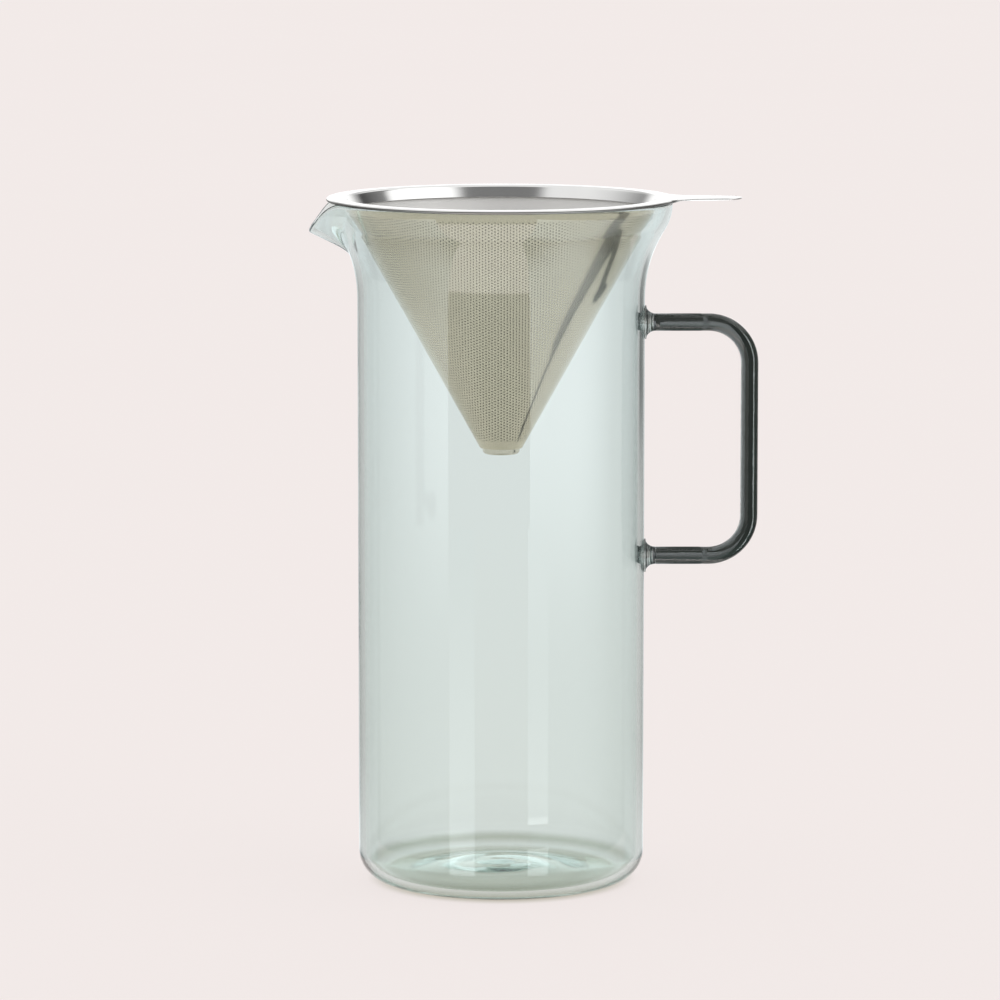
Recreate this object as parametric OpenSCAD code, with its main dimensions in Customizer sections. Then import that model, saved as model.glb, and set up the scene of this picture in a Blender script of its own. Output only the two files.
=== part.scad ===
// Pour-over coffee maker: a blown glass carafe with a fused rod handle and a lift-out steel cone filter.
// The origin is on the table at the middle of the base.
// The handle and the pull tab point along +X, the spout along -X.

/* [Carafe] */
// Outer diameter of the straight body
body_d = 100; // [90:1:112]
// Height from the table to the top of the glass rim
carafe_h = 239; // [200:1:280]
// Outer diameter of the flared mouth
mouth_d = 119; // [116:1:128]
// Thickness of the glass wall
wall = 2.2; // [1.6:0.1:3.2]
// Thickness of the glass floor
floor_t = 2.6; // [2:0.1:5]
// Outer radius where the wall turns into the base
base_corner_r = 10; // [8:0.5:16]
// Depth of the hollow under the base, which the floor follows
punt_h = 3; // [1:0.1:5]
// Width of the flat ring that the carafe stands on
foot_ring_w = 7; // [4:0.5:12]
// Steepest lean of the flared mouth, from upright
flare_angle = 32; // [26:1:40]
// Share of the flare that the lower, outward sweep takes
flare_share = 0.73; // [0.6:0.01:0.8]

/* [Spout] */
// How far the spout's tip stands out past the mouth
spout_reach = 7.8; // [6:0.1:10]
// How far the spout's tip lies below the rim
spout_drop = 10.9; // [8:0.1:12]
// Rise of the spout's keel, from level
keel_rise = 26; // [23:1:34]
// Length of the keel, from its root inside the wall to the tip
keel_l = 18.7; // [17:0.1:22]
// Half angle of the conical beak
beak_angle = 38; // [34:0.5:42]
// Fall of the spout's lip towards the tip, from level
lip_fall = 52; // [46:1:58]
// Radius that takes the rim over into the spout's lip
lip_round = 12; // [8:0.5:14]

/* [Handle] */
// Diameter of the glass rod
rod_d = 6.1; // [5:0.1:9]
// Drop from the rim to the middle of the upper arm
handle_drop = 42.7; // [40:0.1:60]
// Distance between the middles of the two arms
handle_span = 82; // [60:1:110]
// Distance from the body's wall to the middle of the grip
handle_reach = 36.6; // [28:0.1:50]
// Bend radius at the middle of the rod
bend_r = 14.3; // [9:0.1:20]
// Diameter of the foot where a seal meets the wall
foot_d = 11.8; // [10:0.1:16]
// Length of a seal, from the wall to the rod's end
foot_l = 3.8; // [2.5:0.1:6]

/* [Filter] */
// Thickness of the collar's sheet
collar_t = 0.6; // [0.4:0.05:0.9]
// How far the flange stands out past the mouth
flange_overhang = 1.2; // [1:0.1:3]
// Width of the flange, from its edge to the throat
flange_w = 6.4; // [5.5:0.1:8]
// Radius over the bend between flange and skirt
collar_bend_r = 1.4; // [1:0.1:2]
// Height of the collar's skirt
skirt_h = 4.2; // [3:0.1:8]
// Included angle of the cone
cone_angle = 58; // [52:1:66]
// Outer diameter of the cone's lower end
tip_d = 15; // [12:0.5:24]
// Thickness of the perforated sheet
sheet_t = 0.5; // [0.3:0.05:0.8]
// Thickness of the fine mesh
mesh_t = 0.25; // [0.15:0.05:0.4]
// Width of the lap seam at the back of the cone
seam_w = 3; // [2:0.1:5]
// Thickness of the cap's sheet
cap_t = 0.5; // [0.3:0.05:0.8]
// How far the cap reaches up inside the cone
cap_lap = 3.4; // [2:0.1:5]
// How far the cap stands out below the cone
cap_drop = 2.2; // [1.8:0.1:4]
// Corner radius of the cap
cap_r = 1.3; // [1:0.1:1.6]

/* [Pull tab] */
// How far the tab stands out past the flange
tab_l = 23; // [16:0.5:32]
// Radius of the tab's round end
tab_end_r = 6.5; // [5:0.1:9]
// Taper of each side of the tab
tab_taper = 9; // [4:0.5:14]
// Radius of the fillets between tab and flange
tab_root_r = 10; // [6:0.5:16]

/* [Clearances] */
// Room between the flange and the rim that it rests on
seat_gap = 0.3; // [0.2:0.05:0.5]
// Room between the layers of the filter
layer_gap = 0.05; // [0.02:0.01:0.1]
// Room between the flange and the upper edges of the cone's layers
edge_gap = 0.8; // [0.6:0.1:1.5]

/* [Hidden] */
$fn = 96;
// Steps along each rounded stretch of a profile
arc_steps = 10;
// How far a cutter runs on past what it cuts
pass = 5;

// Glass, from the table upwards
body_r = body_d / 2;
mouth_r = mouth_d / 2;
rim_r = wall / 2;
rim_z = carafe_h - rim_r;
inner_corner_r = base_corner_r - wall;
floor_r = body_r - base_corner_r;
ring_r = floor_r - foot_ring_w;
flare_sum = (mouth_r - body_r) / (1 - cos(flare_angle));
flare_low_r = flare_share * flare_sum;
flare_top_r = flare_sum - flare_low_r;
flare_z = rim_z - flare_sum * sin(flare_angle);

// Spout, in the plane through the axis. Distances grow outwards, along -X
spout_tip = mouth_r + spout_reach;
spout_z = carafe_h - spout_drop;
beak_root = [spout_tip - keel_l * cos(keel_rise), spout_z - keel_l * sin(keel_rise)];
beak_lean = 90 - keel_rise - beak_angle;
beak_l = 2 * keel_l;
// The lip starts this far above the rim, so that it cuts the rim's round edge cleanly
lip_lead = 0.3;

// Handle
rod_r = rod_d / 2;
foot_r = foot_d / 2;
foot_edge = 0.5;
upper_arm_z = carafe_h - handle_drop;
lower_arm_z = upper_arm_z - handle_span;
grip_x = body_r + handle_reach;
arm_end_x = grip_x - bend_r;
rod_start_x = body_r + foot_l;

// Filter. A surface's depth is its distance outwards from the skirt's inner face, square to the cone
half_angle = cone_angle / 2;
flange_r = mouth_r + flange_overhang;
throat_r = flange_r - flange_w;
flange_z = carafe_h + seat_gap;
filter_top = flange_z + collar_t;
mesh_depth = collar_t + layer_gap;
sheet_depth = mesh_depth + mesh_t + layer_gap;
sheet_top = flange_z - edge_gap;
cone_end = filter_top
    - (throat_r + (sheet_depth + sheet_t) / cos(half_angle) - tip_d / 2) / tan(half_angle);

function arc(middle, r, from, to) =
    [for (i = [0:arc_steps]) let (a = from + (to - from) * i / arc_steps) middle + r * [cos(a), sin(a)]];

// Radius of the cone's surface at a depth and a height
function cone_r(depth, z) = throat_r - (filter_top - z) * tan(half_angle) + depth / cos(half_angle);

// Lower face of the glass, from the axis out to the standing ring
function punt() = [for (i = [0:arc_steps]) let (t = i / arc_steps) [ring_r * t, punt_h * (1 - t * t)]];

// The body's face and the flare, upwards, at an inset from the outer face of the glass
function flare(inset) = concat(
    arc([body_r + flare_low_r, flare_z], flare_low_r + inset, 180, 180 - flare_angle),
    arc([mouth_r - flare_top_r, rim_z], flare_top_r - inset, -flare_angle, 0)
);

function outer_face() = concat(
    arc([floor_r, base_corner_r], base_corner_r, -90, 0),
    flare(0)
);

// Upper face of the floor, which rises over the hollow and runs out level
function floor_face() = [
    for (i = [0:arc_steps - 1])
        let (t = i / arc_steps)
            [floor_r * t, floor_t + punt_h * pow(1 - t * t, 2)]
];

function inner_face() = concat(
    floor_face(),
    arc([floor_r, floor_t + inner_corner_r], inner_corner_r, -90, 0),
    flare(wall)
);

function reversed(points) = [for (i = [len(points) - 1:-1:0]) points[i]];

module glass_wall() {
    rim = arc([mouth_r - rim_r, rim_z], rim_r, 0, 180);
    rotate_extrude() polygon(concat(punt(), outer_face(), rim, reversed(inner_face())));
}

module cavity() {
    above = [[mouth_r - wall, carafe_h + pass], [0, carafe_h + pass]];
    rotate_extrude() polygon(concat(inner_face(), above));
}

// Everything that the outside of the glass encloses
module outer_form() {
    rotate_extrude() polygon(concat([[0, 0]], outer_face(), [[0, rim_z]]));
}

// One face of the beak: a cone whose lowest line is the keel, moved in by an inset
module beak(inset) {
    length = beak_l - inset / sin(beak_angle);
    translate([-beak_root[0], 0, beak_root[1]])
        rotate([0, -beak_lean, 0])
            translate([0, 0, inset / sin(beak_angle)])
                cylinder(h = length, r1 = 0, r2 = length * tan(beak_angle));
}

// What lies above the lip, which rounds off the rim and falls straight to the tip
module above_lip() {
    lip_top = carafe_h + lip_lead;
    start_x = spout_tip - (spout_drop + lip_lead) / tan(lip_fall) - lip_round * tan(lip_fall / 2);
    over = arc([start_x, lip_top - lip_round], lip_round, 90, 90 - lip_fall);
    past = [spout_tip, spout_z] + beak_l * [cos(lip_fall), -sin(lip_fall)];
    high = carafe_h + beak_l;
    rotate([90, 0, 180])
        linear_extrude(height = mouth_d, center = true)
            polygon(concat(over, [past, [past[0], high], [start_x, high]]));
}

module below_rim() {
    translate([-mouth_d, -mouth_d, 0]) cube([2 * mouth_d, 2 * mouth_d, rim_z]);
}

module carafe() {
    color("lightcyan", 0.5)
        difference() {
            union() {
                glass_wall();
                difference() {
                    intersection() {
                        beak(0);
                        below_rim();
                    }
                    cavity();
                }
            }
            beak(wall);
            above_lip();
        }
}

module arm(z) {
    translate([rod_start_x, 0, z]) rotate([0, 90, 0]) cylinder(h = arm_end_x - rod_start_x, r = rod_r);
}

// A quarter bend that takes an arm into the grip, at the upper corner or turned over for the lower one
module bend(z, side) {
    translate([arm_end_x, 0, z - side * bend_r])
        rotate([side * 90, 0, 0])
            rotate_extrude(angle = 90) translate([bend_r, 0]) circle(r = rod_r);
}

module handle() {
    color("darkslategray")
        union() {
            arm(upper_arm_z);
            arm(lower_arm_z);
            bend(upper_arm_z, 1);
            bend(lower_arm_z, -1);
            translate([grip_x, 0, lower_arm_z + bend_r]) cylinder(h = handle_span - 2 * bend_r, r = rod_r);
        }
}

// The trumpet of clear glass that joins an arm to the wall
module seal(z) {
    sweep = [
        for (i = [0:arc_steps])
            let (a = 90 * i / arc_steps)
                [foot_r - (foot_r - rod_r) * sin(a), foot_edge + (foot_l - foot_edge) * (1 - cos(a))]
    ];
    inside = -foot_r;
    color("lightcyan", 0.5)
        difference() {
            translate([body_r, 0, z])
                rotate([0, 90, 0])
                    rotate_extrude() polygon(concat([[0, inside], [foot_r, inside]], sweep, [[0, foot_l]]));
            outer_form();
        }
}

module upper_handle_seal() {
    seal(upper_arm_z);
}

module lower_handle_seal() {
    seal(lower_arm_z);
}

// The collar's section: skirt, bend, flange and the edge rolled over to twice the sheet
module collar_ring() {
    turn = 90 - half_angle;
    bend_in = collar_bend_r * tan(turn / 2);
    bend_middle = [throat_r + bend_in, filter_top - collar_bend_r];
    skirt_z = filter_top - skirt_h;
    over = arc(bend_middle, collar_bend_r, 90 + turn, 90);
    edge = arc([flange_r - collar_t, flange_z], collar_t, 90, -180);
    under = arc(bend_middle, collar_bend_r - collar_t, 90, 90 + turn);
    skirt = [[cone_r(collar_t, skirt_z), skirt_z], [cone_r(0, skirt_z), skirt_z]];
    rotate_extrude() polygon(concat(over, edge, under, skirt));
}

// The tongue, its round end and its root fillets, flat
module tab_outline() {
    end_x = flange_r + tab_l - tab_end_r;
    out = [sin(tab_taper), cos(tab_taper)];
    back = [-cos(tab_taper), sin(tab_taper)];
    corner = [end_x, 0] + tab_end_r * out;
    // The fillet's middle lies one fillet radius off the side and off the flange's edge
    start = corner + tab_root_r * out;
    run = -start * back - sqrt(pow(start * back, 2) - start * start + pow(flange_r + tab_root_r, 2));
    middle = start + run * back;
    on_side = corner + run * back;
    on_flange = middle * flange_r / (flange_r + tab_root_r);
    root_x = flange_r - flange_w / 2;
    translate([end_x, 0]) circle(r = tab_end_r);
    difference() {
        polygon([
            [root_x, 0], [root_x, on_flange[1]], on_flange, on_side, corner,
            [corner[0], -corner[1]], [on_side[0], -on_side[1]], [on_flange[0], -on_flange[1]],
            [root_x, -on_flange[1]]
        ]);
        for (side = [-1, 1]) translate([middle[0], side * middle[1]]) circle(r = tab_root_r);
        circle(r = root_x);
    }
}

module filter_collar() {
    color("silver")
        union() {
            collar_ring();
            translate([0, 0, flange_z]) linear_extrude(height = collar_t) tab_outline();
        }
}

// A conical layer between two depths
module cone_layer(depth, thickness) {
    far = depth + thickness;
    rotate_extrude()
        polygon([
            [cone_r(depth, cone_end), cone_end], [cone_r(far, cone_end), cone_end],
            [cone_r(far, sheet_top), sheet_top], [cone_r(depth, sheet_top), sheet_top]
        ]);
}

// The perforated sheet, rolled with its end lapped over the start along a line at the back
module filter_cone() {
    color("darkkhaki")
        union() {
            cone_layer(sheet_depth, sheet_t);
            intersection() {
                cone_layer(sheet_depth + sheet_t / 2, sheet_t * 3 / 2);
                translate([-seam_w / 2, 0, 0]) cube([seam_w, mouth_r, carafe_h]);
            }
        }
}

module filter_mesh() {
    color("gray") cone_layer(mesh_depth, mesh_t);
}

// A pressed cup that lies inside the cone's lower end and closes it
module tip_cap() {
    top = cone_end + cap_lap;
    bottom = cone_end - cap_drop;
    side_r = cone_r(collar_t, cone_end);
    knee = cone_end + cap_t * (1 / cos(half_angle) - 1) / tan(half_angle);
    corner = [side_r - cap_r, bottom + cap_r];
    outside = concat([[cone_r(collar_t, top), top], [side_r, cone_end]], arc(corner, cap_r, 0, -90));
    inside = concat(
        arc(corner, cap_r - cap_t, -90, 0),
        [[side_r - cap_t, knee], [cone_r(collar_t - cap_t, top), top]]
    );
    color("silver") rotate_extrude() polygon(concat(outside, [[0, bottom], [0, bottom + cap_t]], inside));
}

carafe();
handle();
upper_handle_seal();
lower_handle_seal();
filter_collar();
filter_cone();
filter_mesh();
tip_cap();
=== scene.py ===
# %% [markdown]
# # A glass pour-over coffee maker
# A tall carafe of tinted glass, a bent rod of smoked glass for its handle, and a steel cone filter that
# rests in the mouth. The measured solids are loaded as a fixed frame. Each solid then gets a finer mesh
# of its own, because glass and polished steel show every facet of a coarse one.

# %% Load the frame
import math

import bmesh
import bpy
import numpy as np
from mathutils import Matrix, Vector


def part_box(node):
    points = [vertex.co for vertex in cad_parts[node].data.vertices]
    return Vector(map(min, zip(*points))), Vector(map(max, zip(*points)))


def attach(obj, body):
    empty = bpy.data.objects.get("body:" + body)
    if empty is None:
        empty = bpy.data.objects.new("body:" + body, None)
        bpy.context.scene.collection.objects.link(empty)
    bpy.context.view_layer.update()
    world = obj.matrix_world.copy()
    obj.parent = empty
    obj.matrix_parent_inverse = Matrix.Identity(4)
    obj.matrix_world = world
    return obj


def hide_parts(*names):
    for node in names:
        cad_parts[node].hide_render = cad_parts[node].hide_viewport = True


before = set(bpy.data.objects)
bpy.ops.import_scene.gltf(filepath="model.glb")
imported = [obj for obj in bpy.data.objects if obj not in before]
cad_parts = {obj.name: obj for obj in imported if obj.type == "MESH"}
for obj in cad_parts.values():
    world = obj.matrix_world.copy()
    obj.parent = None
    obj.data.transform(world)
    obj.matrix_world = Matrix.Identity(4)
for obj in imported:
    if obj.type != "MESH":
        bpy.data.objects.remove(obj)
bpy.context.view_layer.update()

# %% [markdown]
# ## Meshes from rings
# Everything here is turned, bent or rolled, so every piece is a stack of rings: a profile carried round
# an axis, or a circle carried along a rod. One function joins the rings with quads and closes the ends.
# Building the rings with numpy keeps the true curves, where a modifier would only round off a rough cage.

# %% Rings and skins
mm = 0.001
crease = math.radians(35)


def skin(name, rings, loop=False, first_tip=None, last_tip=None):
    """A smooth piece over a stack of rings. With loop the last joins the first, and a tip closes an end."""
    rings = np.asarray(rings, float)
    stack, around = rings.shape[:2]
    points = rings.reshape(-1, 3).tolist()
    here = np.arange(stack if loop else stack - 1)[:, None] * around
    above = (here + around) % (stack * around)
    side = np.arange(around)[None, :]
    turn = (side + 1) % around
    faces = np.stack([here + side, here + turn, above + turn, above + side], -1).reshape(-1, 4).tolist()
    for tip, ring in ((first_tip, 0), (last_tip, stack - 1)):
        if tip is not None:
            start = ring * around
            faces += [(start + k, start + (k + 1) % around, len(points)) for k in range(around)]
            points.append(list(tip))
    mesh = bpy.data.meshes.new(name)
    mesh.from_pydata(points, [], faces)
    shell = bmesh.new()
    shell.from_mesh(mesh)
    bmesh.ops.recalc_face_normals(shell, faces=shell.faces)
    shell.to_mesh(mesh)
    shell.free()
    mesh.shade_smooth()
    mesh.set_sharp_from_angle(angle=crease)
    piece = bpy.data.objects.new(name, mesh)
    bpy.context.scene.collection.objects.link(piece)
    low, high = np.min(points, 0) / mm, np.max(points, 0) / mm
    print(f"{name}: {len(faces)} faces, {np.round(high - low, 1)} mm")
    return piece


def arc(middle, r, start, end, steps):
    """Points of an arc in a profile, as (radius, height), from one angle in degrees to another."""
    turn = np.radians(np.linspace(start, end, steps + 1))
    return np.stack([middle[0] + r * np.cos(turn), middle[1] + r * np.sin(turn)], -1)


def line(start, end, steps):
    """Evenly spaced points of a straight stretch."""
    share = np.linspace(0, 1, steps + 1)[:, None]
    return np.asarray(start) * (1 - share) + np.asarray(end) * share


def turned(profile, around):
    """The rings of a profile, turned about the upright axis."""
    r, z = np.asarray(profile).T
    level = np.ones_like(around)
    return np.stack([np.outer(r, np.cos(around)), np.outer(r, np.sin(around)), np.outer(z, level)], -1)


full_turn = np.linspace(0, 2 * np.pi, 288, endpoint=False)
print("a full turn has", len(full_turn), "points")

# %% [markdown]
# ## Sizes
# The frame knows where each solid ends, so most sizes are read from its boxes. The few that a box can't
# tell, such as the thickness of the glass or the angles of the beak, are the sizes that the part was
# designed with.

# %% Sizes of the glass
glass_low, glass_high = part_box("carafe")
rod_low, rod_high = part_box("handle")
seal_low, seal_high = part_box("upper_handle_seal")
carafe_h = glass_high.z
mouth_r = glass_high.y
spout_tip = -glass_low.x
rod_r = rod_high.y
foot_r = seal_high.y
# The seal's lowest corner lies on the round wall
body_r = math.hypot(seal_low.x, foot_r)
wall = 2.2 * mm
floor_t = 2.6 * mm
punt_h = 3.0 * mm
base_corner_r = 10 * mm
ring_r = body_r - base_corner_r - 7 * mm
rim_r = wall / 2
rim_z = carafe_h - rim_r
flare_angle = math.radians(32)
flare_sum = (mouth_r - body_r) / (1 - math.cos(flare_angle))
flare_low_r = 0.73 * flare_sum
flare_top_r = flare_sum - flare_low_r
flare_z = rim_z - flare_sum * math.sin(flare_angle)
print(f"body {body_r / mm:.2f}, mouth {mouth_r / mm:.2f}, flare starts at {flare_z / mm:.1f} mm")

# %% Sizes of the spout
spout_z = carafe_h - 10.9 * mm
keel_l = 18.7 * mm
keel_rise = math.radians(26)
beak_angle = math.radians(38)
beak_lean = math.pi / 2 - keel_rise - beak_angle
beak_out = spout_tip - keel_l * math.cos(keel_rise)
beak_up = spout_z - keel_l * math.sin(keel_rise)
lip_fall = math.radians(52)
lip_round = 12 * mm
lip_top = carafe_h + 0.3 * mm
lip_start = spout_tip - (lip_top - spout_z) / math.tan(lip_fall) - lip_round * math.tan(lip_fall / 2)
print(f"beak starts {beak_out / mm:.1f} mm out, {beak_up / mm:.1f} mm up")

# %% [markdown]
# ## The carafe
# The blown glass has a straight body, a rounded base and a mouth that opens in an S. At one side the hot
# rim was pulled out into a beak, which is a leaning cone that flows into the flare. A boolean of the two
# would leave a knife-sharp crease and a poor mesh, so the wall is found as a blend of two distances: for
# each height and direction the radius is where the blend changes sign. The blend is tight at the beak's
# root, where the photo shows a crease, and wide at the rim, where the crease fades. The inside is found
# alike, one wall further in and with a wider blend, so that the wall keeps its thickness round the
# crease.

# %% Where the wall lies
crease_w = 1.8 * mm
rim_blend = 12 * mm
inner_blend = 0.45
halvings = 30


def flare_at(z, inset):
    """Radius of the body and the flare at a height, at an inset from the outer face."""
    low = (flare_low_r + inset) ** 2 - np.maximum(z - flare_z, 0) ** 2
    top = (flare_top_r - inset) ** 2 - (rim_z - z) ** 2
    low_r = body_r + flare_low_r - np.sqrt(np.maximum(low, 0))
    top_r = mouth_r - flare_top_r + np.sqrt(np.maximum(top, 0))
    return np.where(z < rim_z - (flare_top_r - inset) * math.sin(flare_angle), low_r, top_r)


def outside(r, z, turn, inset):
    """Distance of a point from the blend of flare and beak, negative inside. Turn starts at the spout."""
    flare_gap = r - flare_at(z, inset)
    shift = inset / math.sin(beak_angle)
    out = r * np.cos(turn) - beak_out - shift * math.sin(beak_lean)
    up = z - beak_up - shift * math.cos(beak_lean)
    along = out * math.sin(beak_lean) + up * math.cos(beak_lean)
    square = out**2 + (r * np.sin(turn)) ** 2 + up**2 - along**2
    beak_gap = np.sqrt(np.maximum(square, 0)) * math.cos(beak_angle) - along * math.sin(beak_angle)
    pull = crease_w + inner_blend * inset + rim_blend * np.clip((z - beak_up) / (rim_z - beak_up), 0, 1)
    share = np.clip(0.5 + 0.5 * (beak_gap - flare_gap) / pull, 0, 1)
    return beak_gap + (flare_gap - beak_gap) * share - pull * share * (1 - share)


def wall_r(z, turn, inset):
    """Radius of the outermost crossing, by scanning inwards and halving the step that holds it."""
    z, turn = np.broadcast_arrays(z, turn)
    scan = np.linspace(1.6, 0.8, 121) * body_r
    inside = outside(scan, z[..., None], turn[..., None], inset) < 0
    first = np.argmax(inside, -1)
    near, far = scan[first], scan[np.maximum(first - 1, 0)]
    for _ in range(halvings):
        middle = (near + far) / 2
        within = outside(middle, z, turn, inset) < 0
        near, far = np.where(within, middle, near), np.where(within, far, middle)
    return (near + far) / 2


def edge_z(out):
    """Height of the middle of the rounded edge: level round the rim, falling straight at the lip."""
    lip_r = lip_round - rim_r
    rolled = lip_top - lip_round + np.sqrt(np.maximum(lip_r**2 - np.maximum(out - lip_start, 0) ** 2, 0))
    straight = spout_z + (spout_tip - out) * math.tan(lip_fall) - rim_r / math.cos(lip_fall)
    fallen = np.where(out < lip_start + lip_r * math.sin(lip_fall), rolled, straight)
    return np.minimum(rim_z, fallen)


def edge_height(turn, inset):
    """Where a face of the wall ends, in each direction."""
    low, high = np.full_like(turn, beak_up), np.full_like(turn, rim_z)
    for _ in range(halvings):
        middle = (low + high) / 2
        under = middle <= edge_z(wall_r(middle, turn, inset) * np.cos(turn))
        low, high = np.where(under, middle, low), np.where(under, high, middle)
    return (low + high) / 2


spout_half = math.radians(28)
round_spout = np.linspace(-spout_half, spout_half, 113)
round_rest = np.linspace(spout_half, 2 * np.pi - spout_half, 190)[1:-1]
turn = np.concatenate([round_spout, round_rest])
compass = np.stack([-np.cos(turn), -np.sin(turn), np.zeros_like(turn)], -1)
outer_end = edge_height(turn, 0)
inner_end = edge_height(turn, wall)
print(f"lip falls from {outer_end.max() / mm:.1f} to {outer_end.min() / mm:.1f} mm")

# %% Faces of the glass
upright = np.array([0, 0, 1.0])
flare_steps = 66


def upper_face(end, inset, steps):
    """Rings of one face from the foot of the flare to its end."""
    height = flare_z + np.linspace(0, 1, steps + 1)[:, None] * (end - flare_z)[None, :]
    return wall_r(height, turn[None, :], inset)[..., None] * compass + height[..., None] * upright


def lower_face(profile):
    """Rings below the flare, turned in the same directions as the spout's."""
    return turned(profile, turn + np.pi)


punt = [(ring_r * s, punt_h * (1 - s * s)) for s in np.linspace(0.06, 1, 14)]
base_corner = arc((body_r - base_corner_r, base_corner_r), base_corner_r, -90, 0, 18)
outer_wall = line((body_r, base_corner_r), (body_r, flare_z), 22)[1:-1]
outside_rings = np.vstack([
    lower_face(np.vstack([punt, base_corner, outer_wall])),
    upper_face(outer_end, 0, flare_steps),
])
print(f"outer face: {len(outside_rings)} rings")

# %% [markdown]
# The floor of blown glass is never flat: it keeps the swirl of the gather and a small dimple in the
# middle. Through the side of the vessel these bend the light into dark and pale streaks, so they are real
# shape here and not a bump in the material.

# %% Inside of the glass, with the swirl on its floor
inner_corner_r = base_corner_r - wall
floor_r = body_r - wall - inner_corner_r
swirl_h = 0.16 * mm
dimple_h = 0.5 * mm
dimple_r = 4 * mm
ripple_l, arm_l = 13 * mm, 21 * mm
wave_share = 0.6


def swirl(r, angle):
    """Rise and fall of the floor, dying out towards its corner."""
    fade = np.clip(1 - (r / floor_r) ** 4, 0, 1)
    ripple = np.sin(2 * np.pi * r / ripple_l + 2 * angle) * wave_share
    arms = np.cos(2 * np.pi * r / arm_l - angle) * wave_share
    dimple = dimple_h * np.exp(-((r / dimple_r) ** 2))
    return fade * (swirl_h * (ripple + arms) * np.clip(r / (2 * dimple_r), 0, 1) + dimple)


inner_corner = arc((floor_r, floor_t + inner_corner_r), inner_corner_r, -90, 0, 16)
inner_wall = line((body_r - wall, floor_t + inner_corner_r), (body_r - wall, flare_z), 22)[1:-1]
inner_floor = line((0.02 * floor_r, floor_t), (floor_r, floor_t), 40)[:-1]
inside_rings = np.vstack([
    lower_face(np.vstack([inner_floor, inner_corner, inner_wall])),
    upper_face(inner_end, wall, flare_steps),
])
floor_rings = inside_rings[: len(inner_floor)]
floor_out = np.hypot(floor_rings[..., 0], floor_rings[..., 1])
floor_rings[..., 2] += punt_h * (1 - (floor_out / floor_r) ** 2) ** 2 + swirl(floor_out, turn[None, :])
print(f"inner face: {len(inside_rings)} rings, {len(floor_rings)} of them on the floor")

# %% [markdown]
# The rim is fire polished: the cut edge melts into a round bead. It is a half circle between the two
# faces, which leans with the wall, so it follows the rim round and rolls down along the lip by itself.

# %% Rim and carafe
half_wall = (outside_rings[-1] - inside_rings[-1]) / 2
rise = outside_rings[-1] - outside_rings[-2] + inside_rings[-1] - inside_rings[-2]
thickness = np.linalg.norm(half_wall, axis=-1, keepdims=True)
rise -= half_wall * np.sum(rise * half_wall, -1, keepdims=True) / thickness**2
rise *= thickness / np.linalg.norm(rise, axis=-1, keepdims=True)
bead_turn = np.linspace(0, np.pi, 15)[1:-1, None, None]
bead = (outside_rings[-1] + inside_rings[-1]) / 2 + half_wall * np.cos(bead_turn) + rise * np.sin(bead_turn)
carafe_rings = np.vstack([outside_rings, bead, inside_rings[::-1]])
carafe = skin("carafe_glass", carafe_rings, False, (0, 0, punt_h), (0, 0, floor_t + punt_h + dimple_h))
print(f"edge of the glass {2 * thickness.min() / mm:.2f} to {2 * thickness.max() / mm:.2f} mm thick")

# %% [markdown]
# ## The handle
# A rod of smoked glass, bent twice in the flame. Its centre line runs along one arm, round a quarter
# circle, down the grip and back, all in one upright plane, so the ring at each point only needs the
# line's direction.

# %% Handle
bend_r = 14.3 * mm
grip_x = rod_high.x - rod_r
upper_arm_z = rod_high.z - rod_r
lower_arm_z = rod_low.z + rod_r
arm_end_x = grip_x - bend_r
rod_gap = 0.02 * mm
rod_edge = 0.15 * mm
rod_turn = np.linspace(0, 2 * np.pi, 48, endpoint=False)
path = np.vstack([
    line((rod_low.x + rod_gap + rod_edge, upper_arm_z), (arm_end_x, upper_arm_z), 8)[:-1],
    arc((arm_end_x, upper_arm_z - bend_r), bend_r, 90, 0, 28),
    line((grip_x, upper_arm_z - bend_r), (grip_x, lower_arm_z + bend_r), 24)[1:-1],
    arc((arm_end_x, lower_arm_z + bend_r), bend_r, 0, -90, 28),
    line((arm_end_x, lower_arm_z), (rod_low.x + rod_gap + rod_edge, lower_arm_z), 8)[1:],
])
ahead = np.gradient(path, axis=0)
ahead /= np.linalg.norm(ahead, axis=1, keepdims=True)


def rod_ring(middle, forward, r):
    """A circle square to the rod's centre line."""
    across = np.array([-forward[1], 0, forward[0]])
    ring = np.outer(np.cos(rod_turn), [0, 1, 0]) + np.outer(np.sin(rod_turn), across)
    return np.array([middle[0], 0, middle[1]]) + r * ring


def rounded_end(middle, forward):
    """Rings that round off an end of the rod, from its face to its full thickness."""
    return [
        rod_ring(middle - forward * rod_edge * math.cos(a), forward, rod_r - rod_edge * (1 - math.sin(a)))
        for a in np.radians([0, 18, 36, 54, 72])
    ]


rod_rings = rounded_end(path[0], ahead[0])
rod_rings += [rod_ring(p, d, rod_r) for p, d in zip(path, ahead)]
rod_rings += rounded_end(path[-1], -ahead[-1])[::-1]
rod_face_x = rod_low.x + rod_gap
handle = skin("handle_rod", rod_rings, False, (rod_face_x, 0, upper_arm_z), (rod_face_x, 0, lower_arm_z))
print(f"rod {2 * rod_r / mm:.1f} mm thick, centre line {len(path)} points")

# %% [markdown]
# ## The seals
# Where the rod meets the wall the glassblower adds a bead of clear glass and draws it out to a trumpet.
# Its foot follows the round wall, and its narrow end takes the rod.

# %% Handle seals
foot_l = seal_high.x - body_r
foot_edge = 0.5 * mm
seal_gap = 0.02 * mm


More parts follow.
